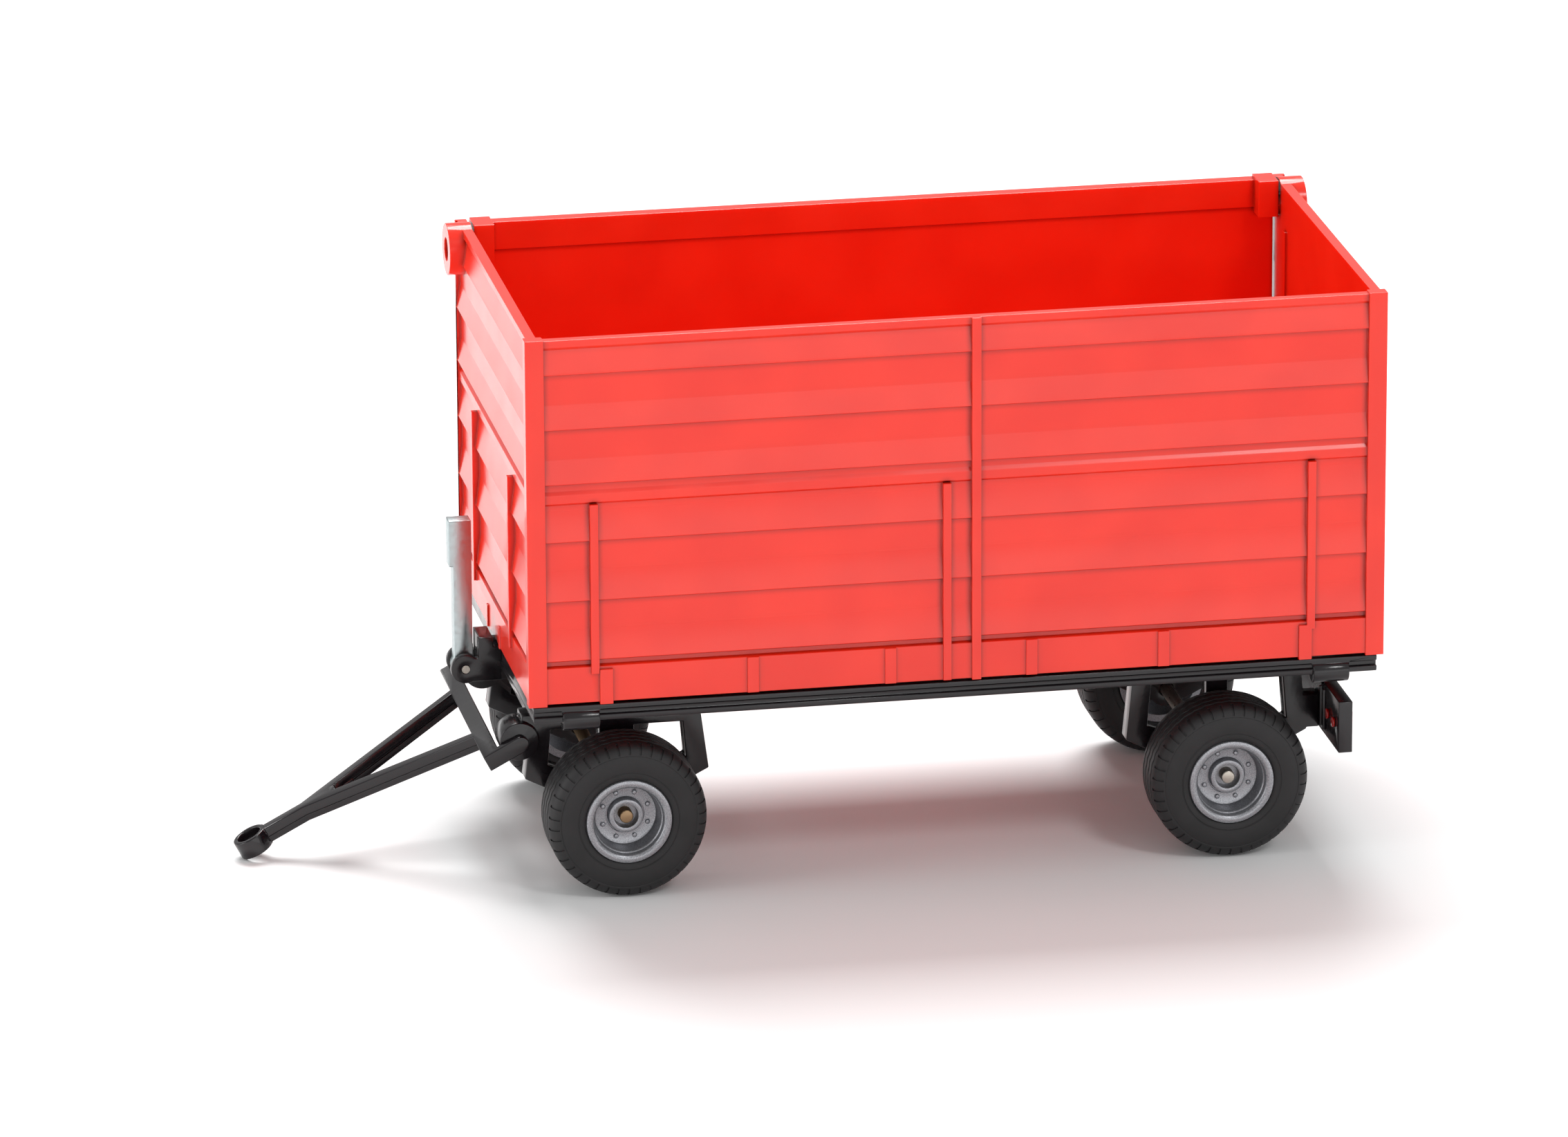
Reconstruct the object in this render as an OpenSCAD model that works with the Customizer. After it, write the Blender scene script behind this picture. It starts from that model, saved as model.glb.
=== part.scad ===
// Toy two-axle tipping trailer with high corrugated sides, drawn at its own size.
// X runs from the drawbar eye (-X) to the tail (+X), Y to the tipping side, Z up.
// The origin lies on the ground under the middle of the whole trailer.

/* [Load body] */
// Length of the load body over its corner posts
body_len = 158; // [120:1:200]
// Width of the load body over its corner posts
body_w = 82; // [76:1:100]
// Height of the walls above the underside of the posts
wall_h = 68.5; // [60:0.5:84]
// Thickness of a wall panel
panel_t = 1.4; // [1.2:0.1:2]
// How far the corner posts stand out from the panel face
post_proud = 1.1; // [0.8:0.1:1.5]
// How far the pressed bands stand out from the panel face
band_proud = 0.8; // [0.4:0.1:1.2]
// Width of a corner post along the side
post_w = 3.4; // [2.5:0.1:5]
// Thickness of the floor
floor_t = 1.6; // [1.2:0.1:2.5]
// Height of the lower side panel up to the ledge
lower_panel_h = 38; // [34:0.5:44]

/* [Swinging flap] */
// Radius of the eyelet that carries the flap
eyelet_r = 4.85; // [4.2:0.05:6]
// Radius of the journal on the end of the flap
journal_r = 2.15; // [1.6:0.05:2.6]
// How far the eyelet stands out from the end of the body
eyelet_proud = 2.1; // [1.2:0.1:3]
// Sideways gap between the flap and an end wall
flap_gap = 0.35; // [0.3:0.05:1]

/* [Chassis] */
// Depth of the chassis frame
frame_h = 3.1; // [2.6:0.1:4]
// Width of a side rail
rail_w = 4; // [3.6:0.1:6]
// Radius of the four tipping barrels under the frame edge
barrel_r = 2.05; // [1.8:0.05:2.4]
// Length of a tipping barrel
barrel_len = 6.7; // [5:0.1:8]
// Radius of the steel pins that hinge the body to the chassis
hinge_pin_r = 0.8; // [0.6:0.05:1]
// Height of the body underside above the axles
deck_over_axle = 24.6; // [22:0.1:28]

/* [Running gear] */
// Outer radius of the tyres
tyre_r = 14.7; // [13:0.1:15.5]
// Width of the tyres
tyre_w = 12; // [9:0.1:13]
// Outer radius of the rim lip
rim_r = 8; // [7.6:0.1:9]
// Distance from the front of the body back to the front axle
front_overhang = 19; // [18:0.5:24]
// Distance from the rear axle back to the rear of the body
rear_overhang = 27; // [25:0.5:34]
// Radius of the steel axles
axle_r = 1.25; // [1:0.05:1.6]
// Distance between the outer faces of the two carrier plates
carrier_w = 46; // [42:0.5:54]
// Thickness of a carrier plate
plate_t = 4; // [3:0.1:5]
// Radius of the king pin between chassis and bogie
kingpin_r = 1.6; // [1.2:0.1:2]

/* [Drawbar] */
// Length of the drawbar from its hinge to the middle of the eye
drawbar_len = 52; // [44:1:64]
// Thickness of the drawbar
drawbar_t = 3.05; // [2.4:0.05:4]
// Inner radius of the drawbar eye
eye_bore_r = 2.3; // [1.8:0.05:2.6]
// Outer radius of the drawbar eye
eye_r = 3.2; // [3.1:0.05:4.5]
// Radius of the hinge studs of the drawbar
stud_r = 0.8; // [0.6:0.05:0.9]

/* [Front lever] */
// Height of the hand lever above its pin
lever_h = 28; // [22:0.5:34]
// Thickness of the hand lever across the trailer
lever_t = 3.4; // [2.4:0.1:4.4]
// Radius of the lever pin
lever_pin_r = 0.75; // [0.6:0.05:1]

/* [Hidden] */
$fn = 48;

run = 0.06;            // radial clearance of a running fit
gap = 0.3;             // clearance between faces that move past each other
eps = 0.01;            // overlap that joins the pieces of one solid

red = "#e8382f";
black = "#171416";
steel = "#a9a6a0";
silver = "#b9bbbe";
rubber = "#2b2a2b";
lens_red = "#9a1712";
bright = "#e4e6e6";

// heights
axle_z = tyre_r;
deck_z = axle_z + deck_over_axle;      // underside of the corner posts
sill_lift = 0.4;                       // wall and floor underside above the posts' feet
frame_top = deck_z - gap;
frame_bot = frame_top - frame_h;

// drawbar: its hinge, and the angle at which the eye lies on the ground
hinge_drop = 12;                       // hinge below the deck
hinge_behind = 0.9;                    // hinge behind the front of the body
eye_t = 3.5;
hitch_z = deck_z - hinge_drop;
reach = drawbar_len + eye_r;
drawbar_angle = asin(hitch_z / norm([reach, eye_t / 2])) - atan2(eye_t / 2, reach);

// stations along X, measured so that the whole trailer is centred on the origin
nose = reach * cos(drawbar_angle) - hinge_behind + eye_t / 2 * sin(drawbar_angle);
body_x0 = -(body_len + eyelet_proud - nose) / 2;
body_x1 = body_x0 + body_len;
hitch_x = body_x0 + hinge_behind;
front_x = body_x0 + front_overhang;
rear_x = body_x1 - rear_overhang;

// wall section: outer face inset from the posts, inner face behind the panel
face_in = post_proud;
inner_in = post_proud + panel_t;
upper_band = 4.7;
lower_band = 5.9;
sill_top = 7.4;
rim_strip = 1.8;                       // plain strip along the top edge
upper_start = lower_panel_h + 3.4;
lower_start = sill_top + 0.8;
upper_pitch = (wall_h - rim_strip - 0.1 - upper_band - upper_start) / 2;
lower_pitch = (lower_panel_h - 1.5 - lower_band - lower_start) / 2;
ledge_h = 2.2;
ledge_proud = 0.5;
rim_proud = 0.45;
rib_w = 1.5;
rib_proud = 1.3;
short_rib_top = lower_panel_h - 0.3;
end_rib_w = 1.2;
end_rib_y = 20.4;
tall_rib_x = 3.2;                      // full-height rib, behind the middle of the side
tall_rib_w = 1.7;
mid_rib_x = -2.2;                      // short rib beside it
outer_rib_x = 12.2;                    // outer ribs, from the ends of the body
outer_rib_foot = 5.8;
tab_w = 2.4;                           // foot of an outer rib
tab_h = 6.6;
stop_tab_w = 2.1;                      // small tabs along the sill
stop_tab_at = [0.26, 0.42, 0.585, 0.74];
bead_at = 30;                          // upright bead inside an end wall, from the middle
bead_h = 59;
post_rise = 0.3;                       // posts above the top edge of the walls

// tipping hinge on the +Y edge
tip_y = body_w / 2 - barrel_r;
tip_z = deck_z - 3.1;
barrel_inset = 6.3;                    // end of a barrel from the end of the body
lug_t = 2.6;
rail_y = body_w / 2 - 1;               // outer face of a side rail
end_inset = 1;                         // ends of the frame inside the ends of the body
rail_groove = 0.6;
beam_w = 3;
long_beam_y = 12;
turntable_r = 13;
rivet_r = 0.8;
rivet_depth = 2;                       // rivet shank inside the frame
rivet_x = 8;                           // rivets in front of and behind the rear axle
kingpin_head_r = kingpin_r + 1.4;
kingpin_head_h = 1.2;
washer_t = 0.5;
pin_cover = 1.5;                       // barrel wall left beyond the end of a hinge pin

// flap
flap_y = eyelet_r;                     // journal axis inside the outer face
journal_z = deck_z + wall_h - 4.2;
journal_y = body_w / 2 - flap_y;
flap_bot = deck_z + sill_lift + gap;
flap_face = body_w / 2 - post_proud;
flap_in = flap_face - panel_t;
rail_h = 5.3;                          // thicker rail along the flap's top edge
rail_t = 0.8;

// running gear
wheel_gap = 1;                         // carrier plate to tyre
wheel_in = carrier_w / 2 + wheel_gap;
wheel_out = wheel_in + tyre_w;
hub_gap = gap;
rim_depth = 4.8;                       // bolt flange behind the lip
bolt_circle = 4.4;
axle_in = 3;                           // axle end behind the rim lip
leg_spread = 17;                       // foot of a carrier leg from the axle
leg_top = 15.4;
leg_w = 3.2;
foot_bar_h = 2.4;                      // bar between the feet of a carrier plate
carrier_top_t = 2.4;
foot_z = deck_z - 19.6;
bogie_plate_t = 2.6;
knuckle_r = 3.6;
knuckle_in = 18;
knuckle_out = carrier_w / 2 + 1.1;
arm_gap = 0.2;
arm_t = 1.6;
cross_u = knuckle_r + 0.5;             // back edge of the drawbar's cross member
cross_w = 3;
arm_spread = 12.8;
neck_w = 2.4;

// light board
board_t = 2.6;
board_h = 9.8;
board_w = body_w - 4.6;
board_x = body_x1 - 7.7;
board_top = deck_z - 9.5;
lens_w = 8;
lens_h = 4.6;
lens_y = board_w / 2 - 6;
lens_studs = [-2.4, 2.4];
lens_stud_r = 0.6;

// lever
lever_x = body_x0 - 5.6;
lever_z = deck_z - 4.4;
lever_hub_r = 2.2;
ear_t = 1.5;
ear_r = 2.7;

// the bogie turns below the lever's ears, on a ring under the frame
bogie_top = lever_z - ear_r - gap;
ring_h = frame_bot - bogie_top - gap;

// ---- load body ----

// Louvre-shaped band: a sharp lower edge, from which the face slopes back to its top.
function band(z, h) = [[0, z], [band_proud, z + 0.25], [band_proud - 0.1, z + 0.6], [0, z + h]];

function flat(list) = [for (part = list) for (p = part) p];

// Section of a corrugated wall: x = distance out from the panel face, y = height.
function wall_section(z0) = concat(
    [[-panel_t, z0], [band_proud, z0], [band_proud, sill_top - 0.3], [0, sill_top]],
    flat([for (i = [0 : 2]) band(lower_start + i * lower_pitch, lower_band)]),
    [[0, lower_panel_h - 0.4], [ledge_proud, lower_panel_h],
        [ledge_proud, lower_panel_h + ledge_h - 0.6], [0, lower_panel_h + ledge_h]],
    flat([for (i = [0 : 2]) band(upper_start + i * upper_pitch, upper_band)]),
    [[0, wall_h - rim_strip], [rim_proud, wall_h - rim_strip + 0.5], [rim_proud, wall_h],
        [-panel_t, wall_h]]);

// Wall of the given length along +X with its panel face on y = 0, facing -Y.
module wall(len, z0 = sill_lift) {
    rotate([90, 0, 90]) linear_extrude(len) mirror([1, 0]) polygon(wall_section(z0));
}

// Upright rib on such a wall, standing on the panel face.
module rib(x, z0, z1, w = rib_w, proud = rib_proud) {
    translate([x - w / 2, -proud, z0]) cube([w, proud + eps, z1 - z0]);
}

module near_wall() {
    translate([body_x0, -body_w / 2 + face_in, deck_z]) {
        translate([eps, 0, 0]) wall(body_len - 2 * eps);
        rib(body_len / 2 + tall_rib_x, sill_lift - 0.2, wall_h, tall_rib_w);
        rib(body_len / 2 + mid_rib_x, sill_lift, short_rib_top);
        for (x = [outer_rib_x, body_len - outer_rib_x - rib_w]) {
            rib(x, outer_rib_foot, short_rib_top);
            rib(x + (x < body_len / 2 ? 2 : -1), 0, tab_h, tab_w);
        }
        for (x = stop_tab_at * body_len)
            rib(x, sill_lift, sill_top - 0.3, stop_tab_w, rib_proud - 0.15);
    }
}

// One end wall, drawn at the front and facing -X.
module end_wall() {
    translate([body_x0 + face_in, body_w / 2, deck_z]) rotate([0, 0, -90]) {
        translate([eps, 0, 0]) wall(body_w - 2 * eps);
        for (y = [-end_rib_y, end_rib_y])
            rib(body_w / 2 + y, outer_rib_foot - 0.8, short_rib_top - 0.1, end_rib_w,
                post_proud + 0.3);
        for (y = [-1, 1] * end_rib_y / 3) rib(body_w / 2 + y, sill_lift, 4.6, end_rib_w, post_proud);
        // strip that closes the bands at the edge by the flap
        translate([0, -band_proud - 0.05, 0]) cube([0.9, band_proud + panel_t + 0.05, wall_h]);
        // upright bead on the inside, by the flap
        translate([body_w / 2 - bead_at, panel_t - eps, floor_t]) cube([1.6, 0.5, bead_h]);
    }
    // eyelet for the flap
    translate([body_x0 - eyelet_proud, journal_y, journal_z]) rotate([0, 90, 0])
        cylinder(r = eyelet_r, h = eyelet_proud + inner_in);
}

module corner_post(x) {
    translate([x, -body_w / 2, deck_z]) cube([post_w, inner_in, wall_h + post_rise]);
}

// Hinge lug that hangs from the floor edge beside a tipping barrel.
module tip_lug(x) {
    translate([x, tip_y, tip_z]) rotate([0, 90, 0]) cylinder(r = barrel_r, h = lug_t);
    translate([x, tip_y - barrel_r, tip_z])
        cube([lug_t, flap_in - gap - tip_y + barrel_r, deck_z + floor_t - tip_z]);
}

lug_x = [body_x0 + barrel_inset + barrel_len + gap,
    body_x1 - barrel_inset - barrel_len - gap - lug_t];

module load_body() color(red) difference() {
    union() {
        near_wall();
        for (m = [0, 1]) translate([m * (body_x0 + body_x1), 0, 0]) mirror([m, 0, 0]) end_wall();
        corner_post(body_x0);
        corner_post(body_x1 - post_w);
        translate([body_x0 + inner_in - eps, -body_w / 2 + inner_in - eps, deck_z + sill_lift])
            cube([body_len - 2 * inner_in + 2 * eps, body_w / 2 + flap_in - gap - inner_in + eps,
                floor_t]);
        for (x = lug_x) tip_lug(x);
    }
    translate([body_x0 - eyelet_proud - 1, journal_y, journal_z]) rotate([0, 90, 0])
        cylinder(r = journal_r + run, h = body_len + 2 * eyelet_proud + 2);
    for (x = lug_x) translate([x - 1, tip_y, tip_z]) rotate([0, 90, 0])
        cylinder(r = hinge_pin_r + run, h = lug_t + 2);
}

// ---- swinging flap ----

flap_x0 = body_x0 + inner_in + flap_gap;
flap_x1 = body_x1 - inner_in - flap_gap;

module side_flap() color(red) {
    block_len = 3.8;
    translate([flap_x1, flap_face, deck_z]) rotate([0, 0, 180]) {
        wall(flap_x1 - flap_x0, flap_bot - deck_z);
        for (x = [0.16, 0.5, 0.84] * (flap_x1 - flap_x0))
            rib(x, flap_bot - deck_z + 0.2, short_rib_top);
    }
    // thicker rail along the inside of the top edge
    translate([flap_x0, flap_in - rail_t, deck_z + wall_h - rail_h])
        cube([flap_x1 - flap_x0, rail_t + eps, rail_h]);
    // hinge block and journal at each end
    for (m = [0, 1]) translate([m * (flap_x0 + flap_x1), 0, 0]) mirror([m, 0, 0]) {
        translate([flap_x0, journal_y - journal_r, journal_z - journal_r])
            cube([block_len, flap_face - journal_y + journal_r, deck_z + wall_h + 0.6
                - journal_z + journal_r]);
        translate([body_x0 - eyelet_proud + 0.6, journal_y, journal_z]) rotate([0, 90, 0])
            cylinder(r = journal_r, h = flap_x0 - body_x0 + eyelet_proud + 0.6);
    }
}

// ---- chassis ----

module side_rail() {
    len = body_len - 2 * end_inset;
    translate([body_x0 + end_inset, rail_y - rail_w, frame_bot]) difference() {
        cube([len, rail_w, frame_h]);
        translate([-1, rail_w - rail_groove, frame_h / 2 - 0.45]) cube([len + 2, 1, 0.9]);
    }
}

module cross_member(x) {
    translate([x - beam_w / 2, -rail_y + 1, frame_bot]) cube([beam_w, 2 * rail_y - 2, frame_h]);
}

module tip_barrel(x) {
    translate([x, tip_y, tip_z]) rotate([0, 90, 0]) cylinder(r = barrel_r, h = barrel_len);
    translate([x, tip_y - barrel_r, tip_z]) cube([barrel_len, barrel_r, frame_top - tip_z]);
}

barrel_x = [body_x0 + barrel_inset, body_x1 - barrel_inset - barrel_len];

module chassis_frame() color(black) difference() {
    union() {
        for (m = [0, 1]) mirror([0, m, 0]) {
            side_rail();
            for (x = barrel_x) tip_barrel(x);
            translate([body_x0 + end_inset, long_beam_y - beam_w / 2, frame_bot])
                cube([body_len - 2 * end_inset, beam_w, frame_h]);
        }
        for (x = [body_x0 + end_inset + beam_w / 2, front_x + turntable_r + beam_w,
            (front_x + rear_x) / 2, rear_x - leg_top, rear_x + leg_top - 2,
            body_x1 - end_inset - beam_w / 2]) cross_member(x);
        translate([front_x - turntable_r, -turntable_r, frame_bot])
            cube([2 * turntable_r, 2 * turntable_r, frame_h]);
        translate([front_x, 0, frame_bot - ring_h])
            cylinder(r = turntable_r, h = ring_h + eps, $fn = 96);
        for (x = [-1, 1] * rivet_x, y = [-1, 1] * long_beam_y)
            translate([rear_x + x, y, frame_bot]) cylinder(r = beam_w, h = frame_h);
    }
    // notches where the body's hinge lugs turn
    for (x = lug_x) translate([x - gap, tip_y - barrel_r - gap, frame_bot - 1])
        cube([lug_t + 2 * gap, 10, frame_h + 2]);
    for (i = [0, 1]) translate([barrel_x[i] + (i == 0 ? pin_cover : -1), tip_y, tip_z])
        rotate([0, 90, 0]) cylinder(r = hinge_pin_r, h = barrel_len + 1 - pin_cover);
    // king pin hole with a seat for its upper head
    translate([front_x, 0, frame_bot - ring_h - 1]) cylinder(r = kingpin_r, h = 9);
    translate([front_x, 0, frame_top - kingpin_head_h]) cylinder(r = kingpin_head_r, h = 2);
    for (x = [-1, 1] * rivet_x, y = [-1, 1] * long_beam_y)
        translate([rear_x + x, y, frame_bot - 1]) cylinder(r = rivet_r, h = rivet_depth + 1);
}

module hinge_pin(i) color(steel) {
    x0 = i == 0 ? barrel_x[0] + pin_cover : lug_x[1] + 0.2;
    x1 = i == 0 ? lug_x[0] + lug_t - 0.2 : barrel_x[1] + barrel_len - pin_cover;
    translate([x0, tip_y, tip_z]) rotate([0, 90, 0]) cylinder(r = hinge_pin_r, h = x1 - x0);
}

module hinge_pin_front() { hinge_pin(0); }
module hinge_pin_rear() { hinge_pin(1); }

// ---- axle carriers ----

// Side plate in the XZ plane about the axle, legs spreading towards the ground.
module carrier_plate(top_z, centre_leg) {
    boss_r = axle_r + 2.1;
    foot = foot_z - axle_z;
    top = top_z - axle_z;
    window_top = top - 3;
    slope = (leg_spread - leg_top) / (deck_z - foot_z);
    module outline() {
        polygon([[-leg_top, top], [-leg_spread, foot], [-boss_r, -boss_r * 0.6],
            [boss_r, -boss_r * 0.6], [leg_spread, foot], [leg_top, top]]);
        circle(r = boss_r);
    }
    module window() polygon([[centre_leg / 2, window_top],
        [leg_top - leg_w, window_top],
        [leg_top - leg_w + slope * (window_top - foot - foot_bar_h), foot + foot_bar_h],
        [centre_leg / 2, boss_r - 0.2]]);
    difference() {
        linear_extrude(plate_t) difference() {
            outline();
            window();
            mirror([1, 0]) window();
        }
        translate([0, 0, -1]) cylinder(r = axle_r + run, h = plate_t + 2);
    }
}

module carrier_plates(x, top_z, centre_leg) {
    for (y = [-carrier_w / 2 + plate_t, carrier_w / 2]) translate([x, y, axle_z])
        rotate([90, 0, 0]) carrier_plate(top_z, centre_leg);
}

module rear_axle_carrier() color(black) difference() {
    union() {
        carrier_plates(rear_x, frame_bot, 4);
        translate([rear_x - leg_top, -carrier_w / 2, frame_bot - carrier_top_t])
            cube([2 * leg_top, carrier_w, carrier_top_t]);
        // arms that hold the light board
        for (y = [-carrier_w / 2, carrier_w / 2 - plate_t])
            translate([rear_x + leg_top - 1, y, foot_z + 0.3])
                cube([board_x - rear_x - leg_top + 1, plate_t, 6.3]);
    }
    for (x = [-1, 1] * rivet_x, y = [-1, 1] * long_beam_y)
        translate([rear_x + x, y, frame_bot - 5]) cylinder(r = rivet_r, h = 6);
}

module carrier_rivets() color(steel)
    for (x = [-1, 1] * rivet_x, y = [-1, 1] * long_beam_y) translate([rear_x + x, y, 0]) {
        translate([0, 0, frame_bot - carrier_top_t])
            cylinder(r = rivet_r, h = carrier_top_t + rivet_depth);
        translate([0, 0, frame_bot - carrier_top_t - 0.8]) cylinder(r = 1.7, h = 0.8);
    }

module light_board() color(black) difference() {
    union() {
        translate([board_x, -board_w / 2, board_top - board_h])
            cube([board_t, board_w, board_h]);
        // upright stiffening ribs on the front face
        for (y = [-1, 1] * (carrier_w / 2 + 3.5), dy = [-1.2, 1.2])
            translate([board_x - 0.5, y + dy - 0.3, board_top - board_h + 1])
                cube([0.5 + eps, 0.6, board_h - 2]);
    }
    for (s = [-1, 1]) {
        translate([board_x + board_t - 0.6, s * lens_y - lens_w / 2,
            board_top - board_h / 2 - lens_h / 2]) cube([1, lens_w, lens_h]);
        for (dy = lens_studs) translate([board_x - 1, s * lens_y + dy, board_top - board_h / 2])
            rotate([0, 90, 0]) cylinder(r = lens_stud_r, h = board_t + 1);
    }
}

// Lens let into the back of the board, its two studs headed over in front.
module tail_lamp(s) color(lens_red) {
    mid = board_top - board_h / 2;
    translate([board_x + board_t - 0.6, s * lens_y - lens_w / 2, mid - lens_h / 2])
        cube([1.1, lens_w, lens_h]);
    for (dy = lens_studs) translate([board_x, s * lens_y + dy, mid]) rotate([0, 90, 0]) {
        cylinder(r = lens_stud_r, h = board_t - 0.5);
        translate([0, 0, -0.5]) cylinder(r = lens_stud_r + 0.35, h = 0.5);
    }
}

module tail_lamp_left() { tail_lamp(-1); }
module tail_lamp_right() { tail_lamp(1); }

// ---- front bogie ----

module front_bogie() color(black) difference() {
    plate_bot = bogie_top - bogie_plate_t;
    union() {
        carrier_plates(front_x, bogie_top, 6.4);
        translate([front_x - leg_top, -carrier_w / 2, plate_bot])
            cube([2 * leg_top, carrier_w, bogie_plate_t]);
        for (s = [-1, 1]) {
            y0 = s < 0 ? -knuckle_out : knuckle_in;
            // knuckle, its neck up to the plate, and the stud for the drawbar arm
            translate([hitch_x, y0, hitch_z]) rotate([-90, 0, 0])
                cylinder(r = knuckle_r, h = knuckle_out - knuckle_in);
            translate([hitch_x + 0.6, s < 0 ? -carrier_w / 2 : knuckle_in, hitch_z - 2])
                cube([front_x - leg_top - hitch_x + 2, carrier_w / 2 - knuckle_in,
                    bogie_top - hitch_z + 2]);
            translate([hitch_x, s < 0 ? -knuckle_out - 1.3 : knuckle_out - eps, hitch_z])
                rotate([-90, 0, 0]) cylinder(r = stud_r, h = 1.3 + eps);
        }
    }
    translate([front_x, 0, plate_bot - 1]) cylinder(r = kingpin_r + run, h = bogie_plate_t + 2);
}

module king_pin() color(steel) {
    low = bogie_top - bogie_plate_t - gap - washer_t;
    translate([front_x, 0, low]) cylinder(r = kingpin_r, h = frame_top - low);
    translate([front_x, 0, frame_top - kingpin_head_h])
        cylinder(r = kingpin_head_r, h = kingpin_head_h);
    translate([front_x, 0, low - kingpin_head_h])
        cylinder(r = kingpin_head_r - 0.2, h = kingpin_head_h);
}

module king_pin_washer() color(steel)
    translate([front_x, 0, bogie_top - bogie_plate_t - gap - washer_t]) difference() {
        cylinder(r = kingpin_r + 2.4, h = washer_t);
        translate([0, 0, -1]) cylinder(r = kingpin_r, h = 3);
    }

// ---- drawbar ----

// Flat A-frame outline: local -X points to the eye; inset narrows every beam.
module drawbar_outline(inset) {
    tip = drawbar_len - 11;
    join = drawbar_len - 14.8;
    front = cross_u + cross_w;
    for (s = [-1, 1]) scale([1, s]) polygon([
        [-front + 0.5, arm_spread + 1.15 - inset], [-tip, neck_w / 2 - inset],
        [-tip, 0], [-join, 0], [-front + 0.5, arm_spread - 1 + inset]]);
    translate([-drawbar_len + 2, -neck_w / 2 + inset]) square([16, neck_w - 2 * inset]);
    translate([-front, -knuckle_out - arm_gap - arm_t + inset])
        square([cross_w, 2 * (knuckle_out + arm_gap + arm_t - inset)]);
}

module drawbar() color(black) translate([hitch_x, 0, hitch_z]) rotate([0, -drawbar_angle, 0])
    difference() {
        side = knuckle_out + arm_gap;
        union() {
            translate([0, 0, -drawbar_t * 0.1]) linear_extrude(drawbar_t * 0.6)
                drawbar_outline(0);
            translate([0, 0, -drawbar_t / 2]) linear_extrude(drawbar_t * 0.4 + eps)
                drawbar_outline(0.15);
            // web between the arms
            translate([0, 0, -1]) linear_extrude(1) polygon([
                [-drawbar_len + 14, 0], [-drawbar_len + 21.5, -4.6],
                [-drawbar_len + 21.5, 4.6]]);
            // short arms beside the knuckles
            for (y = [-side - arm_t, side]) {
                translate([-cross_u - cross_w, y, -drawbar_t / 2])
                    cube([cross_u + cross_w, arm_t, drawbar_t]);
                translate([0, y, 0]) rotate([-90, 0, 0])
                    cylinder(r = drawbar_t / 2, h = arm_t);
            }
            translate([-drawbar_len, 0, -eye_t / 2]) cylinder(r = eye_r, h = eye_t);
        }
        translate([-drawbar_len, 0, -eye_t]) cylinder(r = eye_bore_r, h = 2 * eye_t);
        translate([0, -side - 1.2, 0]) rotate([-90, 0, 0])
            cylinder(r = stud_r + run, h = 2 * side + 2.4);
    }

// ---- wheels ----

module axle(x) color(steel) translate([x, -wheel_out + axle_in, axle_z]) rotate([-90, 0, 0])
    cylinder(r = axle_r, h = 2 * (wheel_out - axle_in));

module front_axle() { axle(front_x); }
module rear_axle() { axle(rear_x); }

// A wheel part is a turned section: x = radius, y = depth behind the outer face.
module on_wheel(x, s) {
    translate([x, s * wheel_out, axle_z]) rotate([s < 0 ? -90 : 90, 0, 0]) children();
}

module rim(x, s) color(silver) on_wheel(x, s) {
    seat = rim_r - 0.4;
    well = rim_r - 1.5;
    hub_end = tyre_w + wheel_gap - hub_gap;
    rotate_extrude($fn = 72) polygon([[rim_r, 0], [rim_r - 1.3, 0], [well - 0.3, 0.6],
        [well - 1, rim_depth], [3.2, rim_depth], [3.1, rim_depth - 1.4],
        [2.2, rim_depth - 1.4], [2, rim_depth - 0.4], [axle_r, rim_depth - 0.4],
        [axle_r, hub_end], [2.4, hub_end], [2.4, rim_depth + 1.4],
        [well - 0.9, rim_depth + 1.4], [well, tyre_w - 1], [well + 0.2, tyre_w],
        [rim_r, tyre_w], [rim_r, tyre_w - 0.8], [seat, tyre_w - 1.2], [seat, 1.2],
        [rim_r, 0.8]]);
    for (a = [0 : 45 : 315]) rotate(a + 22.5) translate([bolt_circle, 0, rim_depth - 0.4])
        cylinder(r = 0.42, h = 0.4 + eps, $fn = 16);
}

module tyre(x, s) color(rubber) on_wheel(x, s) {
    seat = rim_r - 0.4;
    crown = tyre_r - 0.25;
    groove = 0.5;
    tread = tyre_w - 4;
    grooves = flat([for (i = [0 : 3]) let (w = 2 + tread * (i + 0.75) / 4.5)
        [[tyre_r, w - 0.3], [tyre_r - groove, w - 0.2], [tyre_r - groove, w + 0.2],
            [tyre_r, w + 0.3]]]);
    rotate_extrude($fn = 96) polygon(concat(
        [[seat, 1.2], [rim_r, 0.8], [rim_r, 0.3], [rim_r + 1, -0.1], [11.2, -0.2],
            [tyre_r - 1.2, 0.2], [tyre_r - 0.5, 0.9], [crown, 1.5], [tyre_r, 2.1]],
        grooves,
        [[tyre_r, tyre_w - 2.1], [crown, tyre_w - 1.5], [tyre_r - 0.5, tyre_w - 0.9],
            [tyre_r - 1.2, tyre_w - 0.2], [11.2, tyre_w + 0.2], [rim_r + 1, tyre_w + 0.1],
            [rim_r, tyre_w - 0.3], [rim_r, tyre_w - 0.8], [seat, tyre_w - 1.2]]));
}

module rim_front_left() { rim(front_x, -1); }
module rim_front_right() { rim(front_x, 1); }
module rim_rear_left() { rim(rear_x, -1); }
module rim_rear_right() { rim(rear_x, 1); }
module tyre_front_left() { tyre(front_x, -1); }
module tyre_front_right() { tyre(front_x, 1); }
module tyre_rear_left() { tyre(rear_x, -1); }
module tyre_rear_right() { tyre(rear_x, 1); }

// ---- hand lever on the front beam ----

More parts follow.
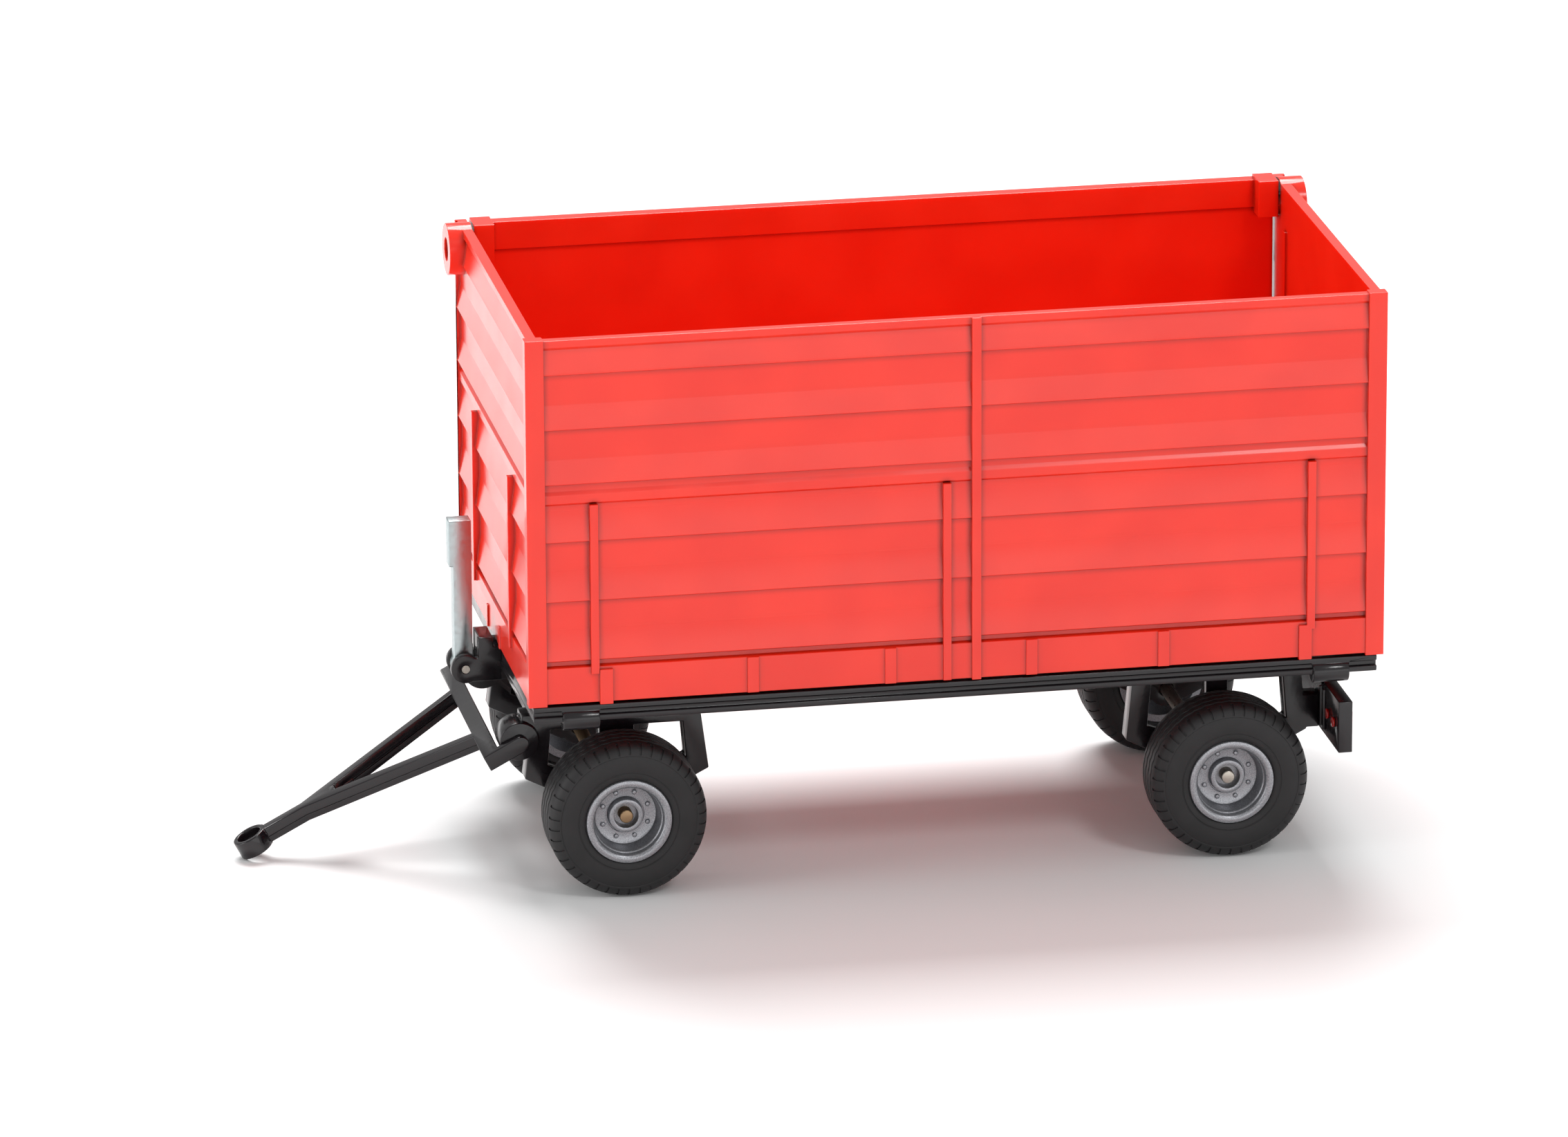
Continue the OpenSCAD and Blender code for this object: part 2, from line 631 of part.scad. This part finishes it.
module lever_bracket() color(black) difference() {
    side = lever_t / 2 + gap;
    block_x = body_x0 - 3.2;
    block_bot = lever_z - 2.4;
    union() {
        // block that meets the frame's front beam, and its top ahead of the body
        translate([block_x, -side - ear_t, block_bot]) cube([body_x0 + end_inset - block_x,
            2 * (side + ear_t), frame_top - block_bot]);
        translate([block_x, -side - ear_t, frame_top - eps])
            cube([body_x0 - 0.5 - block_x, 2 * (side + ear_t), 1.8]);
        for (y = [-side - ear_t, side]) {
            translate([lever_x, y, lever_z]) rotate([-90, 0, 0])
                cylinder(r = ear_r, h = ear_t);
            translate([lever_x, y, block_bot]) cube([body_x0 - lever_x, ear_t, 4.4]);
        }
    }
    translate([lever_x - 9, -side, lever_z - 9]) cube([9 + lever_hub_r + gap, 2 * side, 18]);
    translate([lever_x, -side - ear_t - 1, lever_z]) rotate([-90, 0, 0])
        cylinder(r = lever_pin_r, h = 2 * (side + ear_t) + 2);
}

module hand_lever() color(bright) difference() {
    union() {
        translate([lever_x, -lever_t / 2, lever_z]) rotate([-90, 0, 0])
            cylinder(r = lever_hub_r, h = lever_t);
        // slim shank, then the wider grip above it
        translate([lever_x - 1.8, -lever_t / 2, lever_z])
            cube([3.4, lever_t, lever_h - 0.5]);
        translate([lever_x - 2.6, -lever_t / 2, lever_z + lever_h - 8.8])
            cube([4.2, lever_t, 8.8]);
    }
    translate([lever_x, -lever_t, lever_z]) rotate([-90, 0, 0])
        cylinder(r = lever_pin_r + run, h = 2 * lever_t);
}

module lever_pin() color(steel)
    translate([lever_x, -lever_t / 2 - gap - ear_t, lever_z]) rotate([-90, 0, 0])
        cylinder(r = lever_pin_r, h = lever_t + 2 * (gap + ear_t));

load_body();
side_flap();
chassis_frame();
hinge_pin_front();
hinge_pin_rear();
rear_axle_carrier();
carrier_rivets();
light_board();
tail_lamp_left();
tail_lamp_right();
front_bogie();
king_pin();
king_pin_washer();
drawbar();
front_axle();
rear_axle();
rim_front_left();
rim_front_right();
rim_rear_left();
rim_rear_right();
tyre_front_left();
tyre_front_right();
tyre_rear_left();
tyre_rear_right();
lever_bracket();
hand_lever();
lever_pin();
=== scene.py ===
import math
import bpy
from mathutils import Matrix, Vector


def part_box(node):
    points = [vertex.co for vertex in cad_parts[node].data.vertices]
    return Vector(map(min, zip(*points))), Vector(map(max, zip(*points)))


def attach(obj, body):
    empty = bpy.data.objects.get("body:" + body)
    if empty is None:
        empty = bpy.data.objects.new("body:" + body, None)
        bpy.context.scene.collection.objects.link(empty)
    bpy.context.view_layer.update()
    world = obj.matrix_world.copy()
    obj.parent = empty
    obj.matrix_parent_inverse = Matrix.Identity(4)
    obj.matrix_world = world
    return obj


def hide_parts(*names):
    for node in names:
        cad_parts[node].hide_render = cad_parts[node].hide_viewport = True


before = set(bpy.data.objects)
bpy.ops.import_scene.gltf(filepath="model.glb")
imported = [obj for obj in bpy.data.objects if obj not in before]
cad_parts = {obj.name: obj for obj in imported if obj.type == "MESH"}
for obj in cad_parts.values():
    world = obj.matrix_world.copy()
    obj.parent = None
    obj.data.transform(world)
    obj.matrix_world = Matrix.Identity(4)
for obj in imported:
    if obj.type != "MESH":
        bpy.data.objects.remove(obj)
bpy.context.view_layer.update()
mm = 0.001

# ---- Table, daylight boxes and camera --------------------------------------------------
# A toy trailer stands alone on a white table in a white surround. Soft boxes light it from
# the camera's left, from above and behind, and from the camera's side. A wide low card
# behind the camera is what the sloped faces of its walls reflect. A long lens looks down at
# its near side.

bpy.context.scene.view_settings.view_transform = "Standard"


def linear(hex_colour):
    """An sRGB colour such as "#F0423A" as the four linear numbers that shaders take."""
    parts = [int(hex_colour[i:i + 2], 16) / 255 for i in (1, 3, 5)]
    return [c / 12.92 if c <= 0.04045 else ((c + 0.055) / 1.055) ** 2.4 for c in parts] + [1]


def add(material, kind, inputs=None, **settings):
    """Adds one shader node. An input takes a value, or another node's output to link."""
    tree = material.node_tree
    node = tree.nodes.new(kind)
    for name, value in settings.items():
        setattr(node, name, value)
    for name, value in (inputs or {}).items():
        if isinstance(value, bpy.types.NodeSocket):
            tree.links.new(value, node.inputs[name])
        else:
            node.inputs[name].default_value = value
    return node


def new_material(name):
    """An empty node material, and its Principled shader to set."""
    material = bpy.data.materials.new(name)
    material.use_nodes = True
    return material, material.node_tree.nodes["Principled BSDF"]


def set_shader(material, shader, **inputs):
    """Sets the Principled shader's inputs, written with underscores for spaces."""
    for name, value in inputs.items():
        socket = shader.inputs[name.replace("_", " ")]
        if isinstance(value, bpy.types.NodeSocket):
            material.node_tree.links.new(value, socket)
        else:
            socket.default_value = value


table_paint, shader = new_material("white_table_paint")
set_shader(table_paint, shader, Base_Color=linear("#F4F4F4"), Roughness=0.7)
bpy.ops.mesh.primitive_plane_add(size=14, location=(0, 4, 0))
table = bpy.context.object
table.name = "white_table"
table.data.materials.append(table_paint)

world = bpy.data.worlds.new("white_studio")
bpy.context.scene.world = world
world.use_nodes = True
world.node_tree.nodes["Background"].inputs["Color"].default_value = linear("#FFFFFF")
world.node_tree.nodes["Background"].inputs["Strength"].default_value = 0.56

for name, place, wide, high, watts in [
        ("left_box", (-1.6, -0.1, 0.5), 0.9, 0.9, 8),
        ("back_box", (0.0, 1.05, 1.8), 1.3, 1.0, 46),
        ("front_box", (0.8, -1.5, 1.7), 0.4, 0.4, 8),
        ("front_card", (0.6, -2.4, 0.42), 2.6, 0.8, 8)]:
    lamp = bpy.data.lights.new(name, "AREA")
    lamp.shape = "RECTANGLE"
    lamp.size, lamp.size_y = wide, high
    lamp.energy = watts
    holder = bpy.data.objects.new(name, lamp)
    bpy.context.scene.collection.objects.link(holder)
    holder.location = place
    towards = Vector((0, 0, 0.05)) - Vector(place)
    holder.rotation_euler = towards.to_track_quat("-Z", "Y").to_euler()

azimuth, elevation, roll = (math.radians(a) for a in (-10.52, 17.81, -0.28))
aim = Vector((-1.2, 0.4, 49.3)) * mm
distance = 2.0
lens = bpy.data.cameras.new("long_lens")
lens.sensor_width = 36
lens.lens = 249.4
lens.clip_start = 0.05
lens.clip_end = 60
camera = bpy.data.objects.new("camera", lens)
bpy.context.scene.collection.objects.link(camera)
turn = (Matrix.Rotation(azimuth, 4, "Z") @ Matrix.Rotation(math.pi / 2 - elevation, 4, "X")
        @ Matrix.Rotation(roll, 4, "Z"))
camera.matrix_world = Matrix.Translation(aim + turn @ Vector((0, 0, distance))) @ turn
bpy.context.scene.camera = camera

# ---- Load body and flap ----------------------------------------------------------------
# Injection moulded polystyrene in signal red: a glossy skin, thin walls that let a little
# light through, and edges eased by the mould. The flap hangs from the body's two eyelets.


def eased_copy(node, name, edge, smooth=40):
    """A CAD node's shape with its doubles merged, flat faces joined and sharp edges eased.
    Faces that meet at less than smooth degrees are shaded as one."""
    bpy.ops.object.select_all(action="DESELECT")
    piece = bpy.data.objects.new(name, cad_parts[node].data.copy())
    bpy.context.scene.collection.objects.link(piece)
    bpy.context.view_layer.objects.active = piece
    piece.select_set(True)
    bpy.ops.object.mode_set(mode="EDIT")
    bpy.ops.mesh.select_all(action="SELECT")
    bpy.ops.mesh.remove_doubles(threshold=0.002 * mm)
    bpy.ops.mesh.dissolve_limited(angle_limit=math.radians(0.4))
    bpy.ops.mesh.select_all(action="SELECT")
    bpy.ops.mesh.vert_connect_concave()
    bpy.ops.object.mode_set(mode="OBJECT")
    bevel = piece.modifiers.new("eased_edges", "BEVEL")
    bevel.width = edge
    bevel.segments = 2
    bevel.limit_method = "ANGLE"
    bevel.angle_limit = math.radians(28)
    bevel.use_clamp_overlap = False
    bpy.ops.object.modifier_apply(modifier="eased_edges")
    bpy.ops.object.shade_smooth_by_angle(angle=math.radians(smooth))
    return piece


def finish_with(piece, material, body, slot, *nodes):
    """Gives a finished piece its material and body, and hides the nodes it stands for; its slot is
    not used.
    """
    piece.data.materials.clear()
    piece.data.materials.append(material)
    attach(piece, body)
    if nodes:
        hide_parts(*nodes)


def place_in_mm(material):
    """Object coordinates in millimetres, so that every pattern's scale is a real size."""
    place = add(material, "ShaderNodeTexCoord").outputs["Object"]
    return add(material, "ShaderNodeVectorMath", {0: place, 1: (1000, 1000, 1000)},
               operation="MULTIPLY").outputs[0]


def red_polystyrene():
    """Red polystyrene: flow clouds 14 mm wide, mould polish that varies, a 0.5 mm ripple, and
    painted shade that darkens the colour in creases.
    """
    material, shader = new_material("glossy_red_polystyrene")
    place = place_in_mm(material)
    clouds = add(material, "ShaderNodeTexNoise", {"Vector": place, "Scale": 1 / 14, "Detail": 1})
    colour = add(material, "ShaderNodeValToRGB", {"Fac": clouds.outputs["Fac"]})
    colour.color_ramp.elements[0].position = 0.35
    colour.color_ramp.elements[0].color = linear("#EA2812")
    colour.color_ramp.elements[1].position = 0.65
    colour.color_ramp.elements[1].color = linear("#F02E16")
    smears = add(material, "ShaderNodeTexNoise", {"Vector": place, "Scale": 1 / 9, "Detail": 1})
    polish = add(material, "ShaderNodeMapRange", {"Value": smears.outputs["Fac"],
                 "From Min": 0.3, "From Max": 0.7, "To Min": 0.16, "To Max": 0.22})
    ripple = add(material, "ShaderNodeTexNoise", {"Vector": place, "Scale": 1 / 0.5, "Detail": 2})
    bump = add(material, "ShaderNodeBump", {"Height": ripple.outputs["Fac"], "Strength": 0.05,
               "Distance": 0.05 * mm})
    # Painted shade: ambient occlusion within 1.2 mm darkens the red in creases, under the wall
    # bands and beside the ribs.
    painted_crease_shade = add(material, "ShaderNodeAmbientOcclusion", {"Color": colour.outputs["Color"],
                 "Distance": 1.2 * mm}, samples=4)
    set_shader(material, shader, Base_Color=painted_crease_shade.outputs["Color"], IOR=1.55,
               Roughness=polish.outputs["Result"], Normal=bump.outputs["Normal"],
               Subsurface_Weight=0.4, Subsurface_Scale=1.5 * mm,
               Subsurface_Radius=(1.0, 0.3, 0.2))
    return material


red = red_polystyrene()
wall_edge = 0.1 * mm
wall_smooth = 8.5  # small enough to keep the walls' shallow bands crisp
body = eased_copy("load_body", "load_body_moulding", wall_edge, wall_smooth)
finish_with(body, red, "load_box", "red_plastic", "load_body")
flap = eased_copy("side_flap", "side_flap_moulding", wall_edge, wall_smooth)
finish_with(flap, red, "flap", "red_plastic", "side_flap")

# ---- Chassis, carriers, bogie and drawbar ----------------------------------------------
# Zinc die castings in thick gloss black lacquer, which rounds every edge and leaves a
# faint orange peel. Light board and lever bracket are moulded in gloss black plastic.


def black_gloss(name, colour, peel_mm, peel, gloss):
    """Black lacquer or plastic with an orange peel of the given size and a varying gloss."""
    material, shader = new_material(name)
    place = place_in_mm(material)
    skin = add(material, "ShaderNodeTexNoise", {"Vector": place, "Scale": 1 / peel_mm, "Detail": 2})
    handling = add(material, "ShaderNodeTexNoise", {"Vector": place, "Scale": 1 / 5, "Detail": 5})
    polish = add(material, "ShaderNodeMapRange", {"Value": handling.outputs["Fac"],
                 "From Min": 0.3, "From Max": 0.7, "To Min": gloss, "To Max": gloss + 0.1})
    bump = add(material, "ShaderNodeBump", {"Height": skin.outputs["Fac"], "Strength": peel,
               "Distance": 0.1 * mm})
    set_shader(material, shader, Base_Color=linear(colour), IOR=1.5,
               Roughness=polish.outputs["Result"], Normal=bump.outputs["Normal"])
    return material


lacquer = black_gloss("gloss_black_lacquer", "#151114", 1.4, 0.25, 0.14)
black_moulding = black_gloss("gloss_black_polystyrene", "#191518", 2.0, 0.12, 0.2)

for node, body_name in [("chassis_frame", "chassis"), ("rear_axle_carrier", "chassis"),
                        ("front_bogie", "bogie"), ("drawbar", "drawbar")]:
    finish_with(eased_copy(node, node + "_casting", 0.2 * mm), lacquer, body_name,
                "black_lacquer", node)
for node in ("light_board", "lever_bracket"):
    finish_with(eased_copy(node, node + "_moulding", 0.16 * mm), black_moulding, "chassis",
                "black_plastic", node)

# ---- Bright parts ----------------------------------------------------------------------
# Hinge pins, rivets, the king pin with its washer, the lever's pin and the rear axle are
# turned steel, and the front axle is passivated yellow. The hand lever is a plated pressing.


def bare_metal(name, colour, rough, grain_mm):
    """Turned or plated metal with fine marks of the given size."""
    material, shader = new_material(name)
    place = place_in_mm(material)
    marks = add(material, "ShaderNodeTexNoise",
                {"Vector": place, "Scale": 1 / grain_mm, "Detail": 4})
    polish = add(material, "ShaderNodeMapRange", {"Value": marks.outputs["Fac"],
                 "From Min": 0.3, "From Max": 0.7, "To Min": rough, "To Max": rough + 0.18})
    bump = add(material, "ShaderNodeBump", {"Height": marks.outputs["Fac"], "Strength": 0.2,
               "Distance": 0.05 * mm})
    set_shader(material, shader, Base_Color=linear(colour), Metallic=1.0,
               Roughness=polish.outputs["Result"], Normal=bump.outputs["Normal"])
    return material


turned_steel = bare_metal("turned_steel", "#B9B2A8", 0.25, 0.3)
passivated_steel = bare_metal("yellow_passivated_steel", "#9C8264", 0.32, 0.3)
plating = bare_metal("bright_zinc_plating", "#B4BFC0", 0.28, 0.8)
for node, metal in [("hinge_pin_front", turned_steel), ("hinge_pin_rear", turned_steel),
                    ("carrier_rivets", turned_steel), ("king_pin", turned_steel),
                    ("king_pin_washer", turned_steel), ("lever_pin", turned_steel)]:
    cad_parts[node].data.materials.clear()
    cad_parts[node].data.materials.append(metal)
finish_with(eased_copy("front_axle", "front_axle_turned", 0.25 * mm), passivated_steel,
            "front_wheels", "steel", "front_axle")
finish_with(eased_copy("rear_axle", "rear_axle_turned", 0.25 * mm), turned_steel,
            "rear_wheels", "steel", "rear_axle")
finish_with(eased_copy("hand_lever", "hand_lever_pressing", 0.2 * mm), plating, "lever",
            "bright_metal", "hand_lever")

# ---- Tail lamps ------------------------------------------------------------------------
# Dark red lenses pushed through the light board from behind, their studs headed over.

lens_plastic, shader = new_material("dark_red_lens_acrylic")
place = place_in_mm(lens_plastic)
prisms = add(lens_plastic, "ShaderNodeTexVoronoi", {"Vector": place, "Scale": 1 / 0.7,
             "Randomness": 0.0})
bump = add(lens_plastic, "ShaderNodeBump", {"Height": prisms.outputs["Distance"],
           "Strength": 0.4, "Distance": 0.2 * mm})
set_shader(lens_plastic, shader, Base_Color=linear("#A3120E"), Roughness=0.12, IOR=1.49,
           Normal=bump.outputs["Normal"], Coat_Weight=0.5)
for node in ("tail_lamp_left", "tail_lamp_right"):
    finish_with(eased_copy(node, node + "_lens", 0.12 * mm), lens_plastic, "chassis",
                "lamp_lens", node)

# ---- Wheels ----------------------------------------------------------------------------
# Silver lacquered plastic rims with a bolted flange, pressed on the axles, and soft rubber
# tyres with four wavy grooves and a notched shoulder, stretched over the rims.


def silver_lacquer():
    """Silver lacquer: aluminium flake 0.2 mm apart in a satin coat."""
    material, shader = new_material("satin_silver_lacquer")
    place = place_in_mm(material)
    flake = add(material, "ShaderNodeTexNoise", {"Vector": place, "Scale": 1 / 0.2, "Detail": 2})
    colour = add(material, "ShaderNodeValToRGB", {"Fac": flake.outputs["Fac"]})
    colour.color_ramp.elements[0].position = 0.35
    colour.color_ramp.elements[0].color = linear("#85868B")
    colour.color_ramp.elements[1].position = 0.65
    colour.color_ramp.elements[1].color = linear("#ACADB1")
    bump = add(material, "ShaderNodeBump", {"Height": flake.outputs["Fac"], "Strength": 0.12,
               "Distance": 0.04 * mm})
    set_shader(material, shader, Base_Color=colour.outputs["Color"], Metallic=0.85,
               Roughness=0.36, Normal=bump.outputs["Normal"])
    return material


def tyre_rubber():
    """Soft rubber: dull, with a 0.3 mm grain, rubbed paler in patches 6 mm wide."""
    material, shader = new_material("dull_black_rubber")
    place = place_in_mm(material)
    rub = add(material, "ShaderNodeTexNoise", {"Vector": place, "Scale": 1 / 6, "Detail": 4})
    colour = add(material, "ShaderNodeValToRGB", {"Fac": rub.outputs["Fac"]})
    colour.color_ramp.elements[0].position = 0.35
    colour.color_ramp.elements[0].color = linear("#141314")
    colour.color_ramp.elements[1].position = 0.7
    colour.color_ramp.elements[1].color = linear("#1C1A1C")
    grain = add(material, "ShaderNodeTexNoise", {"Vector": place, "Scale": 1 / 0.3, "Detail": 3})
    bump = add(material, "ShaderNodeBump", {"Height": grain.outputs["Fac"], "Strength": 0.2,
               "Distance": 0.04 * mm})
    set_shader(material, shader, Base_Color=colour.outputs["Color"], Roughness=0.6, IOR=1.5,
               Normal=bump.outputs["Normal"])
    return material


def turned(name, outline, steps):
    """Turns a closed outline of (radius, depth) points in mm about Y: a circle is added at the
    first point, then its edges are extruded and resized from each point to the next."""
    bpy.ops.object.select_all(action="DESELECT")
    radius, depth = outline[0]
    bpy.ops.mesh.primitive_circle_add(vertices=steps, radius=radius * mm,
                                      location=(0, depth * mm, 0), rotation=(math.pi / 2, 0, 0))
    piece = bpy.context.object
    piece.name = name
    bpy.ops.object.transform_apply(location=True, rotation=True, scale=True)
    bpy.ops.object.mode_set(mode="EDIT")
    bpy.ops.mesh.select_all(action="SELECT")
    for next_radius, next_depth in outline[1:] + outline[:1]:
        bpy.ops.mesh.extrude_edges_move(
            TRANSFORM_OT_translate={"value": (0, (next_depth - depth) * mm, 0)})
        grow = next_radius / radius
        bpy.ops.transform.resize(value=(grow, 1, grow), center_override=(0, 0, 0))
        radius, depth = next_radius, next_depth
    bpy.ops.mesh.select_all(action="SELECT")
    bpy.ops.mesh.remove_doubles(threshold=0.001 * mm)
    bpy.ops.mesh.normals_make_consistent(inside=False)
    bpy.ops.object.mode_set(mode="OBJECT")
    return piece


tyre_width = 12
rim_outline = [
    (8.0, 0.8), (7.98, 0.4), (7.8, 0.12), (7.45, 0.0), (7.0, 0.02), (6.65, 0.18), (6.45, 0.45),
    (6.38, 0.8), (6.36, 1.4), (6.2, 1.52), (6.08, 1.75), (6.02, 2.1), (5.78, 4.2),
    (5.62, 4.62), (5.3, 4.8), (3.55, 4.8), (3.48, 5.0), (3.34, 5.0), (3.26, 4.8), (3.2, 3.7),
    (3.1, 3.48), (2.9, 3.4), (2.45, 3.4), (2.28, 3.48), (2.2, 3.7), (2.12, 5.4), (1.28, 5.4),
    (1.28, 12.7), (2.4, 12.7), (2.4, 6.2), (5.6, 6.2), (6.5, 11), (6.7, 12), (8.0, 12),
    (8.0, 11.2), (7.6, 10.8), (7.6, 1.2)]
rim_piece = turned("rim", rim_outline, 96)
bpy.ops.object.shade_smooth_by_angle(angle=math.radians(38))
bolt_count = 8
bolt_circle_r, bolt_r, bolt_height, bolt_depth, dome_r = 4.45, 0.45, 0.6, 4.68, 0.22
bolts = []
for i in range(bolt_count):
    angle = math.radians(360 / bolt_count * (i + 0.5))
    bpy.ops.object.select_all(action="DESELECT")
    bpy.ops.mesh.primitive_cylinder_add(
        vertices=14, radius=bolt_r * mm, depth=bolt_height * mm, rotation=(math.pi / 2, 0, 0),
        location=(bolt_circle_r * mm * math.cos(angle), bolt_depth * mm,
                  bolt_circle_r * mm * math.sin(angle)))
    bolt = bpy.context.object
    bpy.ops.object.transform_apply(location=True, rotation=True, scale=True)
    dome = bolt.modifiers.new("domed_head", "BEVEL")
    dome.width = dome_r * mm
    dome.segments = 3
    bpy.ops.object.modifier_apply(modifier="domed_head")
    bpy.ops.object.shade_smooth_by_angle(angle=math.radians(50))
    bolts.append(bolt)
bpy.ops.object.select_all(action="DESELECT")
for piece in bolts + [rim_piece]:
    piece.select_set(True)
bpy.context.view_layer.objects.active = rim_piece
bpy.ops.object.join()

blocks = 42
block_steps = 5
steps = block_steps * blocks
tread_in, tread_out = 2.2, tyre_width - 2.2
wave = 0.16
notch_in, notch_out, notch_depth = 1.9, tyre_width - 1.9, 0.2
notch_low_r, notch_high_r = 12.9, 14.5
groove_at, groove_pitch, groove_count = 3.15, 1.9, 4


def groove(depth):
    """One tread groove all the way round, about 0.5 mm wide and deep, at the given depth."""
    return [(14.68, depth - 0.34), (14.6, depth - 0.28), (14.16, depth - 0.2),
            (14.16, depth + 0.2), (14.6, depth + 0.28), (14.68, depth + 0.34)]


side = [(7.6, 1.2), (8.0, 0.8), (8.04, 0.4), (8.3, 0.16), (8.7, 0.04), (9.1, 0.0), (9.2, 0.07),
        (9.3, 0.07), (9.4, -0.02), (10.2, -0.14), (11.4, -0.16), (12.2, -0.04), (12.5, 0.06),
        (12.6, 0.0), (12.85, 0.02), (13.3, 0.2), (13.75, 0.5), (14.15, 0.92), (14.42, 1.45),
        (14.56, 1.95)]
far_side = [(radius, tyre_width - depth) for radius, depth in reversed(side)]
tread = [point for i in range(groove_count) for point in groove(groove_at + groove_pitch * i)]
tyre_piece = turned("tyre", side + tread + far_side, steps)
mesh = tyre_piece.data


def column(place):
    """Which of the columns round the tyre a point lies in, counted from the top."""
    return math.atan2(place.x, place.z) / (2 * math.pi) * steps % steps


def pick(vertices=None, faces=None):
    """Selects some vertices or faces of the tyre, by a rule, and goes to edit mode."""
    bpy.ops.object.mode_set(mode="EDIT")
    bpy.ops.mesh.select_mode(type="VERT" if vertices else "FACE")
    bpy.ops.mesh.select_all(action="DESELECT")
    bpy.ops.object.mode_set(mode="OBJECT")
    for part in mesh.vertices if vertices else mesh.polygons:
        part.select = vertices(part.co) if vertices else faces(part.center)
    bpy.ops.object.mode_set(mode="EDIT")


bpy.ops.object.select_all(action="DESELECT")
tyre_piece.select_set(True)
bpy.context.view_layer.objects.active = tyre_piece
for k in range(block_steps):
    pick(vertices=lambda co: tread_in * mm < co.y < tread_out * mm
         and round(column(co)) % block_steps == k)
    sway = wave * mm * math.cos(2 * math.pi * k / block_steps)
    bpy.ops.transform.translate(value=(0, sway, 0))
pick(faces=lambda co: notch_low_r * mm < math.hypot(co.x, co.z) < notch_high_r * mm
     and not notch_in * mm < co.y < notch_out * mm and int(column(co)) % block_steps == 0)
bpy.ops.mesh.extrude_region_shrink_fatten(
    TRANSFORM_OT_shrink_fatten={"value": -notch_depth * mm})
bpy.ops.object.mode_set(mode="OBJECT")
bpy.ops.object.shade_smooth_by_angle(angle=math.radians(32))

silver = silver_lacquer()
rubber = tyre_rubber()
for axle in ("front", "rear"):
    for side_name, sign in (("left", -1), ("right", 1)):
        node = f"rim_{axle}_{side_name}"
        low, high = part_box(node)
        middle = (low + high) / 2
        outer = low.y if sign < 0 else high.y
        place = Matrix.Translation((middle.x, outer, middle.z))
        if sign > 0:
            place = place @ Matrix.Rotation(math.pi, 4, "Z")
        for kind, model, material, slot in (("rim", rim_piece, silver, "silver_rim"),
                                            ("tyre", tyre_piece, rubber, "tyre")):
            piece = bpy.data.objects.new(f"{kind}_{axle}_{side_name}_turned", model.data.copy())
            bpy.context.scene.collection.objects.link(piece)
            piece.data.transform(place)
            finish_with(piece, material, f"{axle}_wheels", slot, f"{kind}_{axle}_{side_name}")
bpy.data.objects.remove(rim_piece)
bpy.data.objects.remove(tyre_piece)
